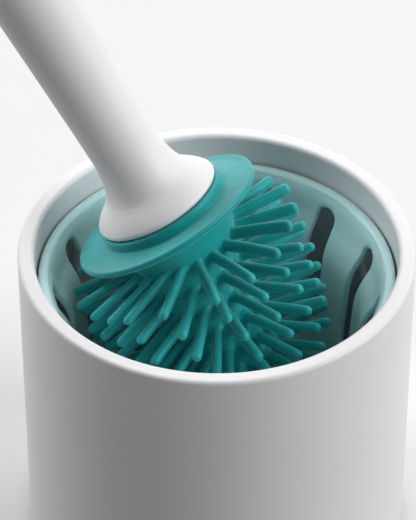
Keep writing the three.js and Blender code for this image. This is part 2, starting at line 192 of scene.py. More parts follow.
def join(piece, shell):
    """Joins the closed solids of a shell to the piece."""
    other = bpy.data.objects.new("joined", closed_mesh("joined", shell, dissolve=False))
    bpy.context.scene.collection.objects.link(other)
    modifier = piece.modifiers.new("join", "BOOLEAN")
    modifier.operation = "UNION"
    modifier.solver = "MANIFOLD"
    modifier.object = other
    bpy.context.view_layer.update()
    evaluated = piece.evaluated_get(bpy.context.evaluated_depsgraph_get())
    result = bpy.data.meshes.new_from_object(evaluated)
    piece.modifiers.remove(modifier)
    old = piece.data
    piece.data = result
    bpy.data.meshes.remove(old)
    bpy.data.objects.remove(other)


# ---------------------------------------------------------------- materials
NOISE_SPAN = (0.35, 0.65)  # values of the noise where a ramp starts and ends


class Finish:
    """A principled material with object-space noise for its colour, gloss and surface."""

    def __init__(self, name, **sockets):
        self.material = bpy.data.materials.new(name)
        self.material.use_nodes = True
        self.nodes = self.material.node_tree.nodes
        self.links = self.material.node_tree.links
        self.shader = self.nodes["Principled BSDF"]
        self.place = self.nodes.new("ShaderNodeTexCoord").outputs["Object"]
        self.bump = None
        for socket, value in sockets.items():
            self.shader.inputs[socket.replace("_", " ")].default_value = value

    def noise(self, scale, detail=3, stretch=None):
        """Noise with about `scale` features a metre, stretched along the axes if asked."""
        node = self.nodes.new("ShaderNodeTexNoise")
        node.inputs["Scale"].default_value = scale
        node.inputs["Detail"].default_value = detail
        place = self.place
        if stretch:
            mapping = self.nodes.new("ShaderNodeMapping")
            mapping.inputs["Scale"].default_value = stretch
            self.links.new(place, mapping.inputs["Vector"])
            place = mapping.outputs["Vector"]
        self.links.new(place, node.inputs["Vector"])
        return node.outputs["Fac"]

    def ramp(self, source, low, high):
        """Two values or two colours that the noise runs between."""
        node = self.nodes.new("ShaderNodeValToRGB")
        colours = [c if isinstance(c, tuple) else (c, c, c) for c in (low, high)]
        for element, position, colour in zip(node.color_ramp.elements, NOISE_SPAN, colours):
            element.position = position
            element.color = (*colour, 1)
        self.links.new(source, node.inputs["Fac"])
        return node.outputs["Color"]

    def colour(self, source, low, high):
        self.links.new(self.ramp(source, low, high), self.shader.inputs["Base Color"])

    def rough(self, source, low, high):
        self.links.new(self.ramp(source, low, high), self.shader.inputs["Roughness"])

    def relief(self, source, height_mm):
        """Adds surface relief of about height_mm; calls stack up."""
        node = self.nodes.new("ShaderNodeBump")
        node.inputs["Distance"].default_value = height_mm * MM
        node.inputs["Strength"].default_value = 1.0
        self.links.new(source, node.inputs["Height"])
        if self.bump is not None:
            self.links.new(self.bump, node.inputs["Normal"])
        self.bump = node.outputs["Normal"]
        self.links.new(self.bump, self.shader.inputs["Normal"])


def white_plastic():
    """Satin moulded plastic with a very fine spark-eroded grain."""
    finish = Finish("white_plastic", IOR=1.46)
    finish.colour(finish.noise(14, 2), (0.775, 0.765, 0.775), (0.805, 0.795, 0.805))
    finish.rough(finish.noise(420, 4), 0.42, 0.52)
    finish.relief(finish.noise(5200, 2), 0.010)
    finish.relief(finish.noise(240, 2), 0.012)
    return finish.material


def mint_plastic():
    """Pale mint plastic that lets a little light through."""
    finish = Finish("mint_plastic", IOR=1.47, Subsurface_Weight=0.35, Subsurface_Scale=1.6 * MM,
                    Subsurface_Radius=(0.45, 1.0, 0.95))
    finish.colour(finish.noise(30, 2), (0.54, 0.81, 0.815), (0.57, 0.84, 0.845))
    finish.rough(finish.noise(350, 4), 0.34, 0.44)
    finish.relief(finish.noise(4200, 2), 0.008)
    finish.relief(finish.noise(160, 2), 0.015)
    return finish.material


def teal_silicone():
    """Soft silicone rubber: light spreads in it, and its skin is slightly uneven with a dusty sheen."""
    finish = Finish("teal_silicone", IOR=1.5, Subsurface_Weight=0.14, Subsurface_Scale=1.2 * MM,
                    Subsurface_Radius=(0.10, 0.8, 0.8), Specular_Tint=(0.55, 1.0, 1.0, 1.0),
                    Sheen_Weight=0.38, Sheen_Roughness=0.42, Sheen_Tint=(0.9, 1.0, 1.0, 1.0))
    finish.colour(finish.noise(60, 3), (0.001, 0.285, 0.288), (0.004, 0.345, 0.35))
    finish.rough(finish.noise(500, 3), 0.42, 0.54)
    finish.relief(finish.noise(2600, 3), 0.018)
    finish.relief(finish.noise(190, 2), 0.05)
    return finish.material


def rubber(name, low, high):
    """Dull rubber between two shades."""
    finish = Finish(name)
    finish.colour(finish.noise(300, 4), low, high)
    finish.rough(finish.noise(900, 3), 0.72, 0.9)
    finish.relief(finish.noise(2200, 3), 0.03)
    return finish.material


def natural_plastic():
    """Uncoloured moulded plastic, slightly translucent."""
    finish = Finish("natural_plastic", IOR=1.5, Subsurface_Weight=0.4, Subsurface_Scale=2.0 * MM,
                    Subsurface_Radius=(1.0, 1.0, 0.9))
    finish.colour(finish.noise(40, 2), (0.66, 0.68, 0.64), (0.72, 0.73, 0.70))
    finish.rough(finish.noise(500, 3), 0.38, 0.52)
    finish.relief(finish.noise(1800, 2), 0.012)
    return finish.material


def turned_metal(name, low, high, smooth, coarse):
    """Bare metal with fine level marks."""
    finish = Finish(name, Metallic=1.0)
    finish.colour(finish.noise(120, 3), low, high)
    finish.rough(finish.noise(700, 4), smooth, coarse)
    finish.relief(finish.noise(1500, 3, stretch=(1, 1, 9)), 0.02)
    return finish.material


WHITE = white_plastic()
MINT = mint_plastic()
TEAL = teal_silicone()
GREY_RUBBER = rubber("grey_rubber", (0.20, 0.215, 0.225), (0.26, 0.275, 0.285))
BLACK_RUBBER = rubber("black_rubber", (0.012, 0.012, 0.013), (0.03, 0.03, 0.032))
NATURAL = natural_plastic()
STEEL = turned_metal("steel", (0.52, 0.53, 0.55), (0.64, 0.65, 0.66), 0.22, 0.36)
BRASS = turned_metal("brass", (0.58, 0.40, 0.16), (0.70, 0.52, 0.24), 0.24, 0.40)

# ---------------------------------------------------------------- pot
ROUND_STEPS = 192
RIM_WALL = 5.3
POT_DRAFT = 0.005
POT_FLOOR = 4.2
RIM_OUTER_EDGE = 1.3
RIM_INNER_EDGE = 1.5
FOOT_EDGE = 3.0
PAD_GAP = 0.3
RECESS_CORNER = 0.6  # rounding inside the pad's recess
RECESS_EDGE = 0.4  # and at its mouth
RIB_COUNT = 6
RIB_THICKNESS = 2.2
RIB_REACH = 54.2  # inner radius of the ribs that the liner's lip hangs on
RIB_TOP_DEPTH = 12.2
RIB_HEIGHT = 26
RIB_FACE_SHARE = 0.6  # share of a rib's height where its inner edge stands upright
RIB_ROOT = 1  # how far it reaches into the wall
RIB_CHAMFER = 0.5
PAD_EDGE = 0.4
PAD_STEPS = 128
GROOVE_DEPTH = 0.35
GROOVE_SPACING = 6.0
GROOVE_WIDTHS = (1.8, 1.0)  # of the pad's grooves at the mouth and at the bottom
GROOVE_MARGIN = 3  # from the pad's edge


def pot_radius(height):
    """Outer radius of the pot, which narrows a little towards its foot."""
    return RIM_RADIUS - POT_DRAFT * (RIM_Z - height)


def pot_outline():
    """Half section, from the middle of the pad's recess round the wall to the middle of the floor."""
    floor = POT_BASE + POT_FLOOR
    recess = PAD_HIGH.x + PAD_GAP
    recess_top = PAD_HIGH.z + PAD_GAP
    inner_foot = pot_radius(floor) - RIM_WALL
    return held([
        (0, recess_top),
        (recess - RECESS_CORNER, recess_top),
        *arc(recess - RECESS_CORNER, recess_top - RECESS_CORNER, RECESS_CORNER, 90, 0, 4),
        *arc(recess + RECESS_EDGE, POT_BASE + RECESS_EDGE, RECESS_EDGE, 180, 270, 4),
        *arc(pot_radius(POT_BASE) - FOOT_EDGE, POT_BASE + FOOT_EDGE, FOOT_EDGE, -90, 0, 10),
        *arc(RIM_RADIUS - RIM_OUTER_EDGE, RIM_Z - RIM_OUTER_EDGE, RIM_OUTER_EDGE, 0, 90, 8),
        *arc(RIM_RADIUS - RIM_WALL + RIM_INNER_EDGE, RIM_Z - RIM_INNER_EDGE, RIM_INNER_EDGE, 90, 180, 8),
        *arc(inner_foot - FOOT_EDGE, floor + FOOT_EDGE, FOOT_EDGE, 0, -90, 8),
        (0, floor),
    ])


def add_rib(shell, turn):
    """Adds one upright rib of the pot's inner wall, as a flat solid with its root inside the wall."""
    top = RIM_Z - RIB_TOP_DEPTH
    outer = pot_radius(top) - RIM_WALL + RIB_ROOT
    outline = [
        (RIB_REACH, top - RIB_CHAMFER),
        (RIB_REACH + RIB_CHAMFER, top),
        (outer, top),
        (outer, top - RIB_HEIGHT),
        (RIB_REACH, top - RIB_FACE_SHARE * RIB_HEIGHT),
    ]
    sides = []
    for side in (-0.5, 0.5):
        y = side * RIB_THICKNESS
        points = [(r * math.cos(turn) - y * math.sin(turn), r * math.sin(turn) + y * math.cos(turn), z)
                  for r, z in outline]
        sides.append(shell.add(points))
    shell.strip(*sides)
    shell.faces.append(tuple(sides[0]))
    shell.faces.append(tuple(reversed(sides[1])))


def make_pot():
    shell = Shell()
    shell.turned(pot_outline(), ROUND_STEPS)
    piece = mesh_piece("pot_body", shell, WHITE, "holder", ["outer_pot"])
    ribs = Shell()
    for i in range(RIB_COUNT):
        add_rib(ribs, TAU * (i + 0.5) / RIB_COUNT)
    join(piece, ribs)
    piece.data.set_sharp_from_angle(angle=math.radians(SHARP))


def make_pad():
    """Round rubber pad with shallow ring-shaped grooves underneath."""
    mouth, bottom = (width / 2 for width in GROOVE_WIDTHS)
    outline = [(0, 0)]
    radius = GROOVE_SPACING
    while radius < PAD_HIGH.x - GROOVE_MARGIN:
        outline += [(radius - mouth, 0), (radius - bottom, GROOVE_DEPTH)]
        outline += [(radius + bottom, GROOVE_DEPTH), (radius + mouth, 0)]
        radius += GROOVE_SPACING
    outline += arc(PAD_HIGH.x - PAD_EDGE, PAD_EDGE, PAD_EDGE, -90, 0, 4)
    outline += arc(PAD_HIGH.x - PAD_EDGE, PAD_HIGH.z - PAD_EDGE, PAD_EDGE, 0, 90, 4)
    outline.append((0, PAD_HIGH.z))
    shell = Shell()
    shell.turned([(r, PAD_LOW.z + z) for r, z in outline], PAD_STEPS)
    mesh_piece("foot_pad", shell, GREY_RUBBER, "holder", ["anti_slip_pad"], sharp=30)


# ---------------------------------------------------------------- drain liner
LIP_DEPTH = 9.5
LINER_WALL = 1.8
LINER_FLOOR_DEPTH = RIM_Z - LINER_LOW_Z - LINER_WALL
LINER_FLOOR_ROUNDING = 5.0
LIP_BEAD = 1.2  # rounding from the top of the lip into the wall
LIP_THICKNESS = 2.4
LIP_UPPER_EDGE = 1.1
LIP_LOWER_EDGE = 0.4
# Inside of the wall below the bead as (radius, depth below the pot's rim): a slope, then an S-shaped step
LINER_INSIDE = [(52.9, 10.7), (52.0, 12.4), (51.2, 15.0), (50.1, 18.6), (47.4, 23.4), (45.5, 28.6),
                (44.5, 37.0), (43.4, 50.0), (42.9, 60.5)]
SLOT_COUNT = 13
SLOT_TURN = math.radians(17.85)  # from +X to the first slot
SLOT_WIDTH = 7.2
SLOT_TOP_DEPTH = 14.4
SLOT_FLATNESS = 0.75  # height of a slot's rounded end, as a share of half its width
SLOT_BOTTOM_DEPTH = 55
SLOT_ZONE_MARGIN = 3.5  # how far the sectors with slots run on below them
SLOT_SCOOP = 2.3  # how far the wall curves in above a slot
SLOT_SIDE = 0.6  # and beside it
SCOOP_DEPTH = 1.2
HOLE_EDGE = 0.4
DRAIN_RADIUS = 3.0
DRAIN_RING = 24
DRAIN_EDGE = 0.6
DRAIN_ZONE = (35, 13)  # radii that bound the ring of drain holes
SECTOR_STEPS = 12  # mesh steps along the top of one sector
EDGE_STEPS = 6  # mesh steps over a hole's rounded edge
RING_GROWTH = 1.2  # how the mesh rings round a hole widen outwards
SECTOR = TAU / SLOT_COUNT


class Profile:
    """The liner's inside surface as a curve, with its outward normal, by distance along it."""

    def __init__(self, points):
        self.points = np.array(points, float)
        steps = np.linalg.norm(np.diff(self.points, axis=0), axis=1)
        self.along = np.concatenate([[0], np.cumsum(steps)])
        tangent = np.gradient(self.points, self.along, axis=0)
        tangent /= np.linalg.norm(tangent, axis=1)[:, None]
        self.normals = np.stack([-tangent[:, 1], tangent[:, 0]], axis=1)

    def at(self, distance, depth=0.0):
        """Radius and height at a distance along the curve, that far into the wall."""
        r, z, nr, nz = (np.interp(distance, self.along, column)
                        for column in (*self.points.T, *self.normals.T))
        return r + nr * depth, z + nz * depth

    def where_height(self, height):
        """Distance along the curve where the wall is at this height."""
        wall = self.points[:, 1] > RIM_Z - LINER_FLOOR_DEPTH + LINER_FLOOR_ROUNDING
        return float(np.interp(-height, -self.points[wall, 1], self.along[wall]))

    def where_radius(self, radius):
        """Distance along the curve where the floor is at this radius."""
        floor = self.points[:, 1] < RIM_Z - LINER_FLOOR_DEPTH + 1e-6
        return float(np.interp(-radius, -self.points[floor, 0], self.along[floor]))


def liner_profile():
    """The liner's inside, from the top of its lip down the wall and in along the floor."""
    foot_radius = LINER_INSIDE[-1][0]
    floor = RIM_Z - LINER_FLOOR_DEPTH
    bead = arc(LINER_INSIDE[0][0] + LIP_BEAD, RIM_Z - LIP_DEPTH - LIP_BEAD, LIP_BEAD, 90, 165, 10)
    wall = bead + [(r, RIM_Z - depth) for r, depth in smooth_line(LINER_INSIDE, 8)]
    flat_radius = foot_radius - LINER_FLOOR_ROUNDING
    corner = arc(flat_radius, floor + LINER_FLOOR_ROUNDING, LINER_FLOOR_ROUNDING, -4, -90, 12)
    flat = [(r, floor) for r in np.linspace(flat_radius, 0.5, 30)[1:]]
    return Profile([*wall, *corner, *flat])


def pierced_zone(shell, profile, zone, hole, scoop, side_steps, rings):
    """A ring of sectors between two distances along the profile, each with a round-ended hole in the wall.

    hole is (first end, last end, half width, flatness of its ends) along the profile. scoop is how far the
    inside of the wall curves into the hole at its first end, how far elsewhere, and how deep. Each sector's
    mesh runs in rings from the hole's rounded edge out to the sector's border, inside and outside alike.
    """
    start, end = zone
    first, last, half, flatness = hole
    above, beside, sunk = scoop
    quarter = SECTOR_STEPS // 2
    ends = 2 * SECTOR_STEPS
    border, edge, reach = [], [], []
    for sign, centre, limit in ((1, first, start), (-1, last, end)):
        for j in range(ends):
            turn = math.pi * j / ends
            edge.append((sign * half * math.cos(turn), centre - sign * half * flatness * math.sin(turn)))
            reach.append(beside + (above - beside) * max(sign, 0) * math.sin(turn) ** 2)
            if j <= quarter:
                border.append((sign * 0.5, centre + (limit - centre) * j / quarter))
            elif j <= ends - quarter:
                border.append((sign * (0.5 - (j - quarter) / (ends - 2 * quarter)), limit))
            else:
                border.append((-sign * 0.5, limit + (centre - limit) * (j - ends + quarter) / quarter))
        other = last if sign > 0 else first
        for j in range(side_steps):
            along = centre + (other - centre) * j / side_steps
            edge.append((-sign * half, along))
            reach.append(beside)
            border.append((-sign * 0.5, along))
    bends = [math.radians(90 * k / EDGE_STEPS) for k in range(EDGE_STEPS + 1)]
    spread = [((k + 1) / rings) ** RING_GROWTH for k in range(rings)]
    for sector in range(SLOT_COUNT):
        middle = SLOT_TURN + SECTOR * sector
        rims = []
        for outside in (False, True):
            rows = []
            for bend, share in [(bend, 0) for bend in bends] + [(bends[-1], share) for share in spread]:
                row = []
                for (across, along), (turn, goal), curl in zip(edge, border, reach):
                    target = turn * SECTOR * profile.at(goal)[0]
                    distance = math.hypot(target - across, goal - along)
                    near = (HOLE_EDGE if outside else curl) / distance * (1 - math.cos(bend))
                    part = near + (1 - near) * share
                    x = across + (target - across) * part
                    d = along + (goal - along) * part
                    r_inner = profile.at(d)[0]
                    sink = (HOLE_EDGE if outside else sunk) * (1 - math.sin(bend))
                    r, z = profile.at(d, LINER_WALL - sink if outside else sink)
                    angle = middle + x / r_inner
                    row.append((r * math.cos(angle), r * math.sin(angle), z))
                rows.append(shell.add(row))
            shell.strips(rows)
            rims.append(rows[0])
        shell.strip(*rims)


def plain_zone(shell, rows_of_points):
    """A turned strip through (radius, height) points, left open at both ends and in step with the sectors."""
    steps = SLOT_COUNT * SECTOR_STEPS
    turns = [SLOT_TURN + SECTOR / 2 + TAU * i / steps for i in range(steps)]
    shell.strips([shell.add([(r * math.cos(turn), r * math.sin(turn), z) for turn in turns])
                  for r, z in rows_of_points])


def make_liner():
    profile = liner_profile()
    half = SLOT_WIDTH / 2
    slot_top = profile.where_height(RIM_Z - SLOT_TOP_DEPTH)
    slot_bottom = profile.where_height(RIM_Z - SLOT_BOTTOM_DEPTH)
    wall_end = slot_bottom + SLOT_ZONE_MARGIN
    shell = Shell()
    slot = (slot_top + half * SLOT_FLATNESS, slot_bottom - half * SLOT_FLATNESS, half, SLOT_FLATNESS)
    scoop = (SLOT_SCOOP, SLOT_SIDE, SCOOP_DEPTH)
    pierced_zone(shell, profile, (0.0, wall_end), slot, scoop, side_steps=30, rings=7)
    ring = profile.where_radius(DRAIN_RING)
    zone = tuple(profile.where_radius(r) for r in DRAIN_ZONE)
    scoop = (DRAIN_EDGE, DRAIN_EDGE, DRAIN_EDGE)
    pierced_zone(shell, profile, zone, (ring, ring, DRAIN_RADIUS, 1), scoop, side_steps=0, rings=6)
    inner_edge = profile.at(0.0)
    outer_edge = profile.at(0.0, LINER_WALL)
    lip_top = RIM_Z - LIP_DEPTH
    crown = arc(LIP_RADIUS - LIP_UPPER_EDGE, lip_top - LIP_UPPER_EDGE, LIP_UPPER_EDGE, 90, 0, 8)
    lip_low = lip_top - LIP_THICKNESS
    under = arc(LIP_RADIUS - LIP_LOWER_EDGE, lip_low + LIP_LOWER_EDGE, LIP_LOWER_EDGE, 0, -90, 3)
    under.append((outer_edge[0] + LIP_LOWER_EDGE, under[-1][1]))
    plain_zone(shell, [inner_edge, *crown, *under, outer_edge])
    for depth in (0.0, LINER_WALL):
        corner = np.linspace(wall_end, zone[0], 26)
        plain_zone(shell, [profile.at(d, depth) for d in corner])
        middle = np.linspace(zone[1], profile.where_radius(DRAIN_RADIUS + DRAIN_EDGE), 8)
        plain_zone(shell, [profile.at(d, depth) for d in middle])
    floor = RIM_Z - LINER_FLOOR_DEPTH
    hole = DRAIN_RADIUS + DRAIN_EDGE
    rim = arc(hole, floor - DRAIN_EDGE, DRAIN_EDGE, 90, 180, 4)
    rim += arc(hole, floor - LINER_WALL + DRAIN_EDGE, DRAIN_EDGE, 180, 270, 4)
    plain_zone(shell, rim)
    mesh_piece("liner_cup", shell, MINT, "liner", ["drain_liner"], sharp=50)


# ---------------------------------------------------------------- brush frame
LEAN = Matrix.Rotation(math.acos(BRUSH_AXIS.z), 4, "Y")
HEADING = Matrix.Rotation(math.atan2(BRUSH_AXIS.y, BRUSH_AXIS.x), 4, "Z")
BRUSH = Matrix.Translation(BRUSH_BASE) @ HEADING @ LEAN
TO_BRUSH = BRUSH.to_3x3().inverted()  # turns a direction into the brush's own axes
DOWN = TO_BRUSH @ Vector((0, 0, -1))  # gravity
TURN_STEPS = 128

# ---------------------------------------------------------------- handle
HANDLE_LENGTH = 280
CAP_HEIGHT = 9
BELL_RADIUS = 20.5
BELL_EDGE = 1.2
HANDLE_WALL = 2.6
BORE_TOP = 30.4  # top of the plain bore that the socket is pressed into
HOLLOW_START = 38.4  # above it the handle is hollow
SEAL_RADIUS = 11.2
SEAL_RECESS = 1.7
SEAL_RECESS_CHAMFER = 0.3
SEAL_THICKNESS = 1.3
SEAL_ROUNDING = 0.4
SEAL_STEPS = 96
SOCKET_RADIUS = 8.0
SOCKET_HEIGHT = 24
SOCKET_DEPTH = 19
STUD_RADIUS = 6.0
STUD_HEIGHT = 17.5
STUD_CHAMFER = 1.2
THREAD_DEPTH = 0.7
FIT = 0.3
TUBE_RADIUS, TUBE_BORE = 6.0, 5.0
TUBE_LOW = 26.4
SPIGOT_LENGTH = 12  # of the end cap in the handle
SPIGOT_CHAMFER = (0.8, 1)  # width and height
PIN_LENGTH = 7  # of the end cap and of the socket in the tube
PIN_CHAMFER = (0.6, 0.8)  # width and height
CAP_ROUNDING = 6.0
CAP_CHAMFER = 0.3
TUBE_CHAMFER = 0.15
TUBE_STEPS = 64
SOCKET_CHAMFER = 0.4
SOCKET_MOUTH = 0.3  # widening of the thread's mouth
THREAD_CLEARANCE = 0.15
THREAD_FADE = 1.5  # height over which a thread runs out at its ends
THREAD_STEP = 0.25  # mesh step along a thread
# Outside above the bell's edge as (radius, height): a convex bell, a waist, then a grip that swells slightly
HANDLE_OUTSIDE = [(20.35, 1.9), (19.1, 3.5), (17.2, 5.35), (15.5, 6.8), (14.0, 8.4), (12.8, 11.0),
                  (11.8, 14.8), (11.15, 20), (11.1, 27), (11.7, 50), (12.6, 78), (13.6, 108), (14.6, 150),
                  (15.0, 190), (14.6, 235), (13.8, HANDLE_LENGTH - CAP_HEIGHT)]


def make_handle():
    bore = SOCKET_RADIUS + FIT
    seal = SEAL_RADIUS + FIT
    grip = smooth_line(HANDLE_OUTSIDE, 8)
    inside = [(r - HANDLE_WALL, z) for r, z in grip if z > HOLLOW_START]
    outline = [
        (bore, SEAL_RECESS),
        (seal, SEAL_RECESS),
        (seal, SEAL_RECESS_CHAMFER),
        (seal + SEAL_RECESS_CHAMFER, 0),
        *arc(BELL_RADIUS - BELL_EDGE, BELL_EDGE, BELL_EDGE, -90, 22, 8),
        *grip,
        *reversed(inside),
        (bore, BORE_TOP),
        (bore, SEAL_RECESS),
    ]
    shell = Shell()
    shell.turned(held(outline), TURN_STEPS)
    mesh_piece("handle_grip", shell, WHITE, "handle", ["handle_shell"], BRUSH)


def make_end_cap():
    top_radius = HANDLE_OUTSIDE[-1][0]
    seat = HANDLE_LENGTH - CAP_HEIGHT + FIT
    spigot = top_radius - HANDLE_WALL - FIT
    spigot_low = seat - FIT - SPIGOT_LENGTH
    pin_low = spigot_low - PIN_LENGTH
    pin = TUBE_BORE - FIT
    crown = [(top_radius - CAP_ROUNDING + 1.2, HANDLE_LENGTH - 0.13), (4.5, HANDLE_LENGTH + 0.35),
             (0, HANDLE_LENGTH + 0.6)]
    outline = [
        (0, pin_low),
        (pin - PIN_CHAMFER[0], pin_low),
        (pin, pin_low + PIN_CHAMFER[1]),
        (pin, spigot_low),
        (spigot - SPIGOT_CHAMFER[0], spigot_low),
        (spigot, spigot_low + SPIGOT_CHAMFER[1]),
        (spigot, seat),
        (top_radius - CAP_CHAMFER, seat),
        (top_radius, seat + CAP_CHAMFER),
        *arc(top_radius - CAP_ROUNDING, HANDLE_LENGTH - CAP_ROUNDING, CAP_ROUNDING, 0, 78, 14),
        *smooth_line(crown, 5)[1:],
    ]
    shell = Shell()
    shell.turned(held(outline), TURN_STEPS)
    mesh_piece("grip_cap", shell, WHITE, "handle", ["handle_end_cap"], BRUSH)


def threaded(low, high, inward=False):
    """Radius that follows a rounded helical thread between two heights."""
    def radius_at(radius, height, angle):
        if not low < height < high:
            return radius
        fade = min(1.0, (height - low) / THREAD_FADE, (high - height) / THREAD_FADE)
        phase = height / THREAD_PITCH - angle / TAU
        ridge = 0.5 - 0.5 * math.cos(TAU * phase)
        depth = THREAD_DEPTH * fade * (1 - ridge)
        return radius + depth if inward else radius - depth
    return radius_at


def fine_line(radius, low, high):
    """An upright line with enough points for a thread."""
    count = round(abs(high - low) / THREAD_STEP)
    return [(radius, low + (high - low) * i / count) for i in range(count + 1)]


def make_socket():
    low = SEAL_RECESS + FIT
    top = low + SOCKET_HEIGHT
    bore = STUD_RADIUS + THREAD_CLEARANCE
    pin = TUBE_BORE - FIT
    thread = threaded(low + SOCKET_MOUTH, low + SOCKET_DEPTH - 0.5, inward=True)

    def radius_at(radius, height, angle):
        return thread(radius, height, angle) if abs(radius - bore) < 1e-6 else radius

    outline = [
        (0, low + SOCKET_DEPTH),
        *fine_line(bore, low + SOCKET_DEPTH, low + 0.1),
        (bore + SOCKET_MOUTH, low),
        (SOCKET_RADIUS - SOCKET_CHAMFER, low),
        (SOCKET_RADIUS, low + SOCKET_CHAMFER),
        (SOCKET_RADIUS, top - SOCKET_CHAMFER),
        (SOCKET_RADIUS - SOCKET_CHAMFER, top),
        (pin, top),
        (pin, top + PIN_LENGTH - PIN_CHAMFER[1]),
        (pin - PIN_CHAMFER[0], top + PIN_LENGTH),
        (0, top + PIN_LENGTH),
    ]
    shell = Shell()
    shell.turned(outline, TUBE_STEPS, radius_at)
    mesh_piece("brass_socket", shell, BRASS, "handle", ["threaded_socket"], BRUSH)


def make_tube():
    low, high = TUBE_LOW, HANDLE_LENGTH - CAP_HEIGHT - SPIGOT_LENGTH - FIT
    edge = TUBE_CHAMFER
    outline = [
        (TUBE_BORE, low + edge),
        (TUBE_BORE + edge, low),
        (TUBE_RADIUS - edge, low),
        (TUBE_RADIUS, low + edge),
        (TUBE_RADIUS, high - edge),
        (TUBE_RADIUS - edge, high),
        (TUBE_BORE + edge, high),
        (TUBE_BORE, high - edge),
        (TUBE_BORE, low + edge),
    ]
    shell = Shell()
    shell.turned(outline, TUBE_STEPS)
    mesh_piece("steel_tube", shell, STEEL, "handle", ["stiffening_tube"], BRUSH, sharp=30)


def make_washer():
    bore = STUD_RADIUS + FIT
    rounding = SEAL_ROUNDING
    outline = [
        *arc(bore + rounding, SEAL_THICKNESS - rounding, rounding, 180, 90, 4),
        *arc(SEAL_RADIUS - rounding, SEAL_THICKNESS - rounding, rounding, 90, 0, 4),
        *arc(SEAL_RADIUS - rounding, rounding, rounding, 0, -90, 4),
        *arc(bore + rounding, rounding, rounding, -90, -180, 4),
    ]
    outline.append(outline[0])
    shell = Shell()
    shell.turned(outline, SEAL_STEPS)
    mesh_piece("seal_ring", shell, BLACK_RUBBER, "seal", ["sealing_washer"], BRUSH,
               sharp=SOFT_SHARP)


# ---------------------------------------------------------------- brush head
COLLAR_RADIUS = 21.2
COLLAR_HEIGHT = 3.2
COLLAR_EDGE = 0.8
COLLAR_FOOT = 0.5  # rounding from the collar into the flange
FLANGE_RADIUS = 31.2
FLANGE_EDGE = 2.0
FLANGE_DISH = 1.0
FLANGE_ROUNDING = 0.6
FLANGE_BEAD = 0.15  # the rim stands this little above the dish
FLANGE_TILT = math.radians(2.9)  # the soft flange stands a little higher towards the front
FLANGE_FREE = (21.5, 27.0)  # radii between which it starts to tilt
FLANGE_ZONE = (7.0, 11.0)  # depths below which nothing tilts with it
CORE_RADIUS = 17.5
CORE_END = 68.5
CORE_DOME = 12
STEM_RADIUS = 9
STEM_END = 60
STEM_CHAMFER = 2
STEM_STEPS = 72
ANCHOR_RADIUS = 14
ANCHOR_THICKNESS = 2.6
ANCHOR_DEPTH = 3.4
ANCHOR_CHAMFER = 0.4
BRISTLE_RADIUS = 1.65
BRISTLE_TAPER = 0.93  # radius at the tip, as a share of the radius at the root
BRISTLE_SIDES = 18
BRISTLE_BURIED = 2.0  # length inside the core
# Extra radius of a bristle's root, by distance out of the core
BRISTLE_FLARE = [(1.3, -BRISTLE_BURIED), (1.0, -0.2), (0.5, 0.35), (0.18, 0.9), (0.03, 1.7)]
BRISTLE_COLUMNS = 20
BRISTLE_FIRST_ROW = 17.0
BRISTLE_PITCH = 8.1
LAST_ROW_REACH = 1.5  # how far the last row may sit over the rounded end
BRISTLE_DRIFT = math.radians(0.3)  # how far a column winds round the axis with every millimetre down
BRISTLE_SAG = 0.8  # how far a bristle's tip hangs below its straight line
ROOT_SINK = 0.2  # how far inside the core's surface it starts
UNEVEN_DEPTH = 0.35  # how much the bristles stand out of line: in mm along the core,
UNEVEN_HEADING = 0.03  # in radians round it
UNEVEN_LEAN = 1.2  # and in degrees of lean
# Rows from the flange down: lean towards the head's end in degrees, and length
ROWS = [(7, 21.4), (6, 21.4), (8, 21.2), (10, 20.6), (14, 19.4), (23, 17.6)]
# Use has combed the bristles on one side over: most at this turn from the front, fading out over this width
COMBED_TURN, COMBED_WIDTH, COMBED_LEAN = (math.radians(v) for v in (-28, 26, -25))
# Turns from the front between which the bristles come to stand straight out
STRAIGHT_SIDE = (math.radians(30), math.radians(65))
# Rings over the rounded end: lean in degrees, number of bristles and length
END_RINGS = [(42, 16, 15.2), (64, 8, 14.6), (90, 1, 14.0)]
SEAM_TURN = math.radians(12.5)  # the mould's parting line, measured round the axis from the front
SEAM_RIDGE = 0.14
SEAM_ZONE = (-16, -8)  # heights between which it shows
HEAD_STEPS = 180
# The soft head hangs nearer to upright than the handle
HEAD_AXIS = Vector((-0.3624, 0.1801, 0.9145)).normalized()
BEND_PIVOT = 10.0
BEND_SPAN = (7.0, 21.0)  # depths between which the soft neck bends

CAMERA_ELEVATION = math.radians(40.3)
FRONT = Vector((0, -math.cos(CAMERA_ELEVATION), math.sin(CAMERA_ELEVATION)))
FRONT_OF_BRUSH = TO_BRUSH @ (FRONT - BRUSH_AXIS * FRONT.dot(BRUSH_AXIS))
FRONT_TURN = math.atan2(FRONT_OF_BRUSH.y, FRONT_OF_BRUSH.x)  # angle round the brush that faces the front

BENT_AXIS = (TO_BRUSH @ HEAD_AXIS).normalized()
BEND_ANGLE = math.acos(BENT_AXIS.z)
BEND_AXIS = Vector((0, 0, 1)).cross(BENT_AXIS).normalized()


def eased(value, span):
    """0 below the span, 1 above it, and a smooth step between."""
    t = min(max((value - span[0]) / (span[1] - span[0]), 0), 1)
    return t * t * (3 - 2 * t)


def hang(point):
    """A point of the straight head, moved by the tilt of the soft flange and the bend of the soft neck."""
    x, y, z = point
    tilt = FLANGE_TILT * eased(math.hypot(x, y), FLANGE_FREE) * (1 - eased(-z, FLANGE_ZONE))
    z += tilt * (x * math.cos(FRONT_TURN) + y * math.sin(FRONT_TURN))
    turn = Matrix.Rotation(BEND_ANGLE * eased(-z, BEND_SPAN), 3, BEND_AXIS)
    pivot = Vector((0, 0, -BEND_PIVOT))
    return tuple(pivot + turn @ (Vector((x, y, z)) - pivot))


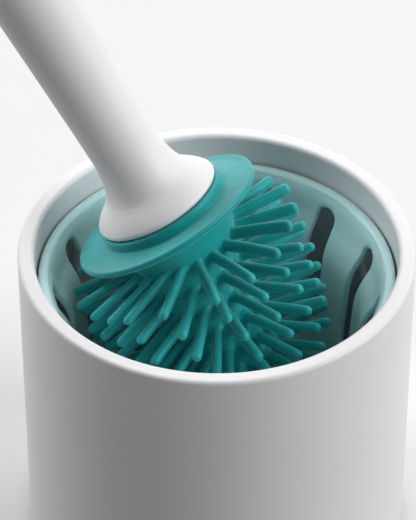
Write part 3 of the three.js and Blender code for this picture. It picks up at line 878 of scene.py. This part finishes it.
def finger(shell, root, direction, length):
    """A silicone bristle: flared root, slight taper, round tip, sagging under its own weight."""
    direction = direction.normalized()
    side = direction.cross(Vector((0, 0, 1)))
    side = side.normalized() if side.length > 1e-3 else Vector((1, 0, 0))
    up = side.cross(direction)
    sag = DOWN - direction * DOWN.dot(direction)
    tip_radius = BRISTLE_TAPER * BRISTLE_RADIUS
    body = length - tip_radius
    profile = [(BRISTLE_RADIUS + extra, out) for extra, out in BRISTLE_FLARE]
    flare_end = profile[-1][1]
    profile += [(BRISTLE_RADIUS + (tip_radius - BRISTLE_RADIUS) * s, flare_end + (body - flare_end) * s)
                for s in (0.15, 0.3, 0.45, 0.6, 0.75, 0.9, 1.0)]
    profile += [(tip_radius * math.cos(a), body + tip_radius * math.sin(a))
                for a in (math.radians(v) for v in (18, 36, 54, 72))]
    turns = [TAU * i / BRISTLE_SIDES for i in range(BRISTLE_SIDES)]
    rows = []
    for radius, out in profile:
        share = max(out, 0) / length
        centre = root + direction * out + sag * (BRISTLE_SAG * share * share)
        rows.append(shell.add([centre + radius * (math.cos(turn) * side + math.sin(turn) * up)
                               for turn in turns]))
    shell.strips(rows)
    tip = shell.add([root + direction * length + sag * BRISTLE_SAG])[0]
    shell.fan(rows[-1], tip)
    back = shell.add([root - direction * BRISTLE_BURIED])[0]
    shell.fan(list(reversed(rows[0])), back)


def column_turn(column):
    """Where a column of bristles starts round the axis: even steps, with the mould's parting line midway."""
    return FRONT_TURN + SEAM_TURN + TAU * (column + 0.5) / BRISTLE_COLUMNS


def end_root(tilt):
    """Radius and depth of the rounded end where a bristle with this lean grows from it."""
    dome_start = CORE_END - CORE_DOME
    return CORE_RADIUS * math.cos(tilt), dome_start + CORE_DOME * math.sin(tilt)


def bristles():
    """All the bristles: rows of columns round the core, then rings over its rounded end."""
    shell = Shell()
    dome_start = CORE_END - CORE_DOME
    for row, (tilt, length) in enumerate(ROWS):
        for column in range(BRISTLE_COLUMNS):
            wander = UNEVEN_DEPTH * math.sin(2.4 * column + 0.7)
            depth = min(BRISTLE_FIRST_ROW + wander + BRISTLE_PITCH * row, dome_start + LAST_ROW_REACH)
            turn = column_turn(column) + BRISTLE_DRIFT * (depth - BRISTLE_FIRST_ROW)
            away = math.remainder(turn - FRONT_TURN - COMBED_TURN, TAU) / COMBED_WIDTH
            sway = UNEVEN_HEADING * math.sin(1.7 * column + 2.9 * row)
            heading = turn + COMBED_LEAN * math.exp(-away * away) + sway
            free = eased(math.remainder(turn - FRONT_TURN, TAU), STRAIGHT_SIDE)
            nod = UNEVEN_LEAN * math.sin(3.1 * column + 1.3 * row)
            lean_down = math.radians(tilt * (1 - free) + nod)
            out = Vector((math.cos(turn), math.sin(turn), 0))
            aside = Vector((math.cos(heading), math.sin(heading), 0))
            direction = aside * math.cos(lean_down) + Vector((0, 0, -math.sin(lean_down)))
            finger(shell, out * (CORE_RADIUS - ROOT_SINK) + Vector((0, 0, -depth)), direction, length)
    for ring, (tilt, count, length) in enumerate(END_RINGS):
        lean_down = math.radians(tilt)
        radius, depth = end_root(lean_down)
        for i in range(count):
            turn = FRONT_TURN + TAU * (i + 0.5 * (ring % 2)) / count
            out = Vector((math.cos(turn), math.sin(turn), 0))
            direction = out * math.cos(lean_down) + Vector((0, 0, -math.sin(lean_down)))
            finger(shell, out * radius + Vector((0, 0, -depth)), direction, length)
    shell.points = [hang(p) for p in shell.points]
    return shell


def head_outline():
    """The silicone body: collar, flange, neck and core outside, and the hollow that the head core fills."""
    top = -FIT
    bore = STUD_RADIUS + FIT
    anchor_top = -ANCHOR_DEPTH + FIT
    anchor_low = -ANCHOR_DEPTH - ANCHOR_THICKNESS - FIT
    stem = STEM_RADIUS + FIT
    flange_top = top - COLLAR_HEIGHT
    rim = flange_top - FLANGE_DISH
    edge = FLANGE_ROUNDING
    middle = rim - FLANGE_EDGE / 2
    neck = smooth_line([(26.5, rim - FLANGE_EDGE + 0.05), (23.6, rim - FLANGE_EDGE - 0.3),
                        (21.4, rim - FLANGE_EDGE - 1.3), (20.2, rim - FLANGE_EDGE - 3.2),
                        (18.7, -13.5), (CORE_RADIUS + 0.1, -17.5), (CORE_RADIUS, -21)], 6)
    dome = [(CORE_RADIUS * math.cos(a), -(CORE_END - CORE_DOME) - CORE_DOME * math.sin(a))
            for a in (math.radians(90 * k / 12) for k in range(12))]
    return [
        (0, -STEM_END - FIT),
        *[(stem, z) for z in np.linspace(-STEM_END - FIT, anchor_low, 14)],
        (ANCHOR_RADIUS + FIT, anchor_low),
        (ANCHOR_RADIUS + FIT, anchor_top),
        (bore, anchor_top),
        (bore, top),
        (COLLAR_RADIUS - COLLAR_EDGE, top),
        *arc(COLLAR_RADIUS - COLLAR_EDGE, top - COLLAR_EDGE, COLLAR_EDGE, 75, 0, 5),
        *arc(COLLAR_RADIUS + COLLAR_FOOT, flange_top + 0.45, COLLAR_FOOT, 180, 262, 5),
        (FLANGE_RADIUS - 3.2, rim - 0.05),
        (FLANGE_RADIUS - 1.9, rim - 0.02),
        *arc(FLANGE_RADIUS - edge, rim - edge + FLANGE_BEAD, edge, 95, 0, 7),
        (FLANGE_RADIUS, middle + 0.12),
        (FLANGE_RADIUS - 0.3, middle),
        (FLANGE_RADIUS - 0.05, middle - 0.12),
        *arc(FLANGE_RADIUS - edge - 0.05, rim - FLANGE_EDGE + edge, edge, 0, -88, 6),
        *neck,
        *[(CORE_RADIUS, z) for z in (-28, -36, -44, -52)],
        *dome,
        (0, -CORE_END),
    ]


def make_head():
    """The silicone moulding, with the mould's fine parting line down the neck."""
    seam = round((FRONT_TURN + SEAM_TURN) / TAU * HEAD_STEPS) % HEAD_STEPS

    def radius_at(radius, height, angle):
        on_neck = SEAM_ZONE[0] < height < SEAM_ZONE[1] and radius > ANCHOR_RADIUS + 1
        on_seam = on_neck and round(angle / TAU * HEAD_STEPS) == seam
        return radius + SEAM_RIDGE if on_seam else radius

    shell = Shell()
    shell.turned(held(head_outline(), 0.3), HEAD_STEPS, radius_at)
    shell.points = [hang(p) for p in shell.points]
    piece = mesh_piece("silicone_head", shell, TEAL, "head",
                       ["splash_guard", "bristle_head"])
    join(piece, bristles())
    piece.data.transform(BRUSH)
    piece.data.shade_smooth()
    piece.data.set_sharp_from_angle(angle=math.radians(SOFT_SHARP))
    piece.data.materials.clear()
    piece.data.materials.append(TEAL)


def make_core():
    """Rigid stem inside the silicone, with the anchor disc and the threaded stud."""
    thread = threaded(0.8, STUD_HEIGHT - 0.6)

    def radius_at(radius, height, angle):
        return thread(radius, height, angle) if height > 0 and radius > 3 else radius

    anchor_low = -ANCHOR_DEPTH - ANCHOR_THICKNESS
    outline = [
        (0, -STEM_END),
        (STEM_RADIUS - STEM_CHAMFER, -STEM_END),
        (STEM_RADIUS, -STEM_END + STEM_CHAMFER),
        (STEM_RADIUS, anchor_low),
        (ANCHOR_RADIUS - ANCHOR_CHAMFER, anchor_low),
        (ANCHOR_RADIUS, anchor_low + ANCHOR_CHAMFER),
        (ANCHOR_RADIUS, -ANCHOR_DEPTH - ANCHOR_CHAMFER),
        (ANCHOR_RADIUS - ANCHOR_CHAMFER, -ANCHOR_DEPTH),
        (STUD_RADIUS, -ANCHOR_DEPTH),
        *fine_line(STUD_RADIUS, 0, STUD_HEIGHT - STUD_CHAMFER),
        (STUD_RADIUS - STUD_CHAMFER, STUD_HEIGHT),
        (0, STUD_HEIGHT),
    ]
    shell = Shell()
    shell.turned(outline, STEM_STEPS, radius_at)
    mesh_piece("stem_and_stud", shell, NATURAL, "head", ["head_core"], BRUSH)


# ---------------------------------------------------------------- stage, light and camera
CAMERA_TARGET = Vector((-2.75, 0, RIM_Z - 4.6)) * MM
CAMERA_DISTANCE = 1.082
LENS_FOCAL = 238.26
SENSOR = 36
FLOOR_HALF = 6.0  # metres


def aim(item, at):
    item.rotation_euler = (Vector(at) - item.location).to_track_quat("-Z", "Y").to_euler()


def make_camera():
    data = bpy.data.cameras.new("camera")
    data.lens = LENS_FOCAL
    data.sensor_width = SENSOR
    camera = bpy.data.objects.new("camera", data)
    camera.location = CAMERA_TARGET + FRONT * CAMERA_DISTANCE
    aim(camera, CAMERA_TARGET)
    bpy.context.scene.collection.objects.link(camera)
    bpy.context.scene.camera = camera


def softbox(name, azimuth, elevation, distance, size, watts, colour=(1, 1, 1)):
    """A square light facing the middle of the pot's rim.

    It is placed by its bearing and elevation in degrees, where 0 is the front and 90 is the right, and by its
    distance in metres. Its size is in metres too.
    """
    data = bpy.data.lights.new(name, "AREA")
    data.shape = "SQUARE"
    data.size = size
    data.energy = watts
    data.color = colour
    light = bpy.data.objects.new(name, data)
    a, e = math.radians(azimuth), math.radians(elevation)
    target = Vector((0, 0, RIM_Z * MM))
    bearing = Vector((math.sin(a) * math.cos(e), -math.cos(a) * math.cos(e), math.sin(e)))
    light.location = target + distance * bearing
    aim(light, target)
    bpy.context.scene.collection.objects.link(light)
    return light


def make_lights():
    softbox("key_right", 80, 31, 2.6, 1.6, 55)
    softbox("rim_left_back", -120, 28, 2.9, 1.45, 46, (0.97, 0.985, 1.0))
    softbox("top_back", 172, 48, 2.7, 2.1, 29)
    softbox("back_right", 135, 35, 2.7, 2.1, 6)
    softbox("front_fill", 20, 25, 3.0, 2.4, 1.5)
    softbox("low_back", -165, 10, 3.0, 3.0, 28).visible_camera = False
    world = bpy.data.worlds.new("surroundings")
    world.use_nodes = True
    background = world.node_tree.nodes["Background"]
    background.inputs["Color"].default_value = (1.0, 0.98, 0.985, 1)
    background.inputs["Strength"].default_value = 0.21
    bpy.context.scene.world = world


def make_floor():
    material = bpy.data.materials.new("floor")
    material.use_nodes = True
    shader = material.node_tree.nodes["Principled BSDF"]
    shader.inputs["Base Color"].default_value = (0.73, 0.735, 0.747, 1)
    shader.inputs["Roughness"].default_value = 0.9
    half = FLOOR_HALF
    corners = [(-half, -half, 0), (half, -half, 0), (half, half, 0), (-half, half, 0)]
    mesh = bpy.data.meshes.new("floor")
    mesh.from_pydata(corners, [], [(0, 1, 2, 3)])
    floor = bpy.data.objects.new("floor", mesh)
    floor.data.materials.append(material)
    floor.visible_diffuse = False
    bpy.context.scene.collection.objects.link(floor)


make_pot()
make_pad()
make_liner()
make_handle()
make_end_cap()
make_socket()
make_tube()
make_washer()
make_core()
make_head()
make_camera()
make_lights()
make_floor()
bpy.context.scene.view_settings.view_transform = "Standard"
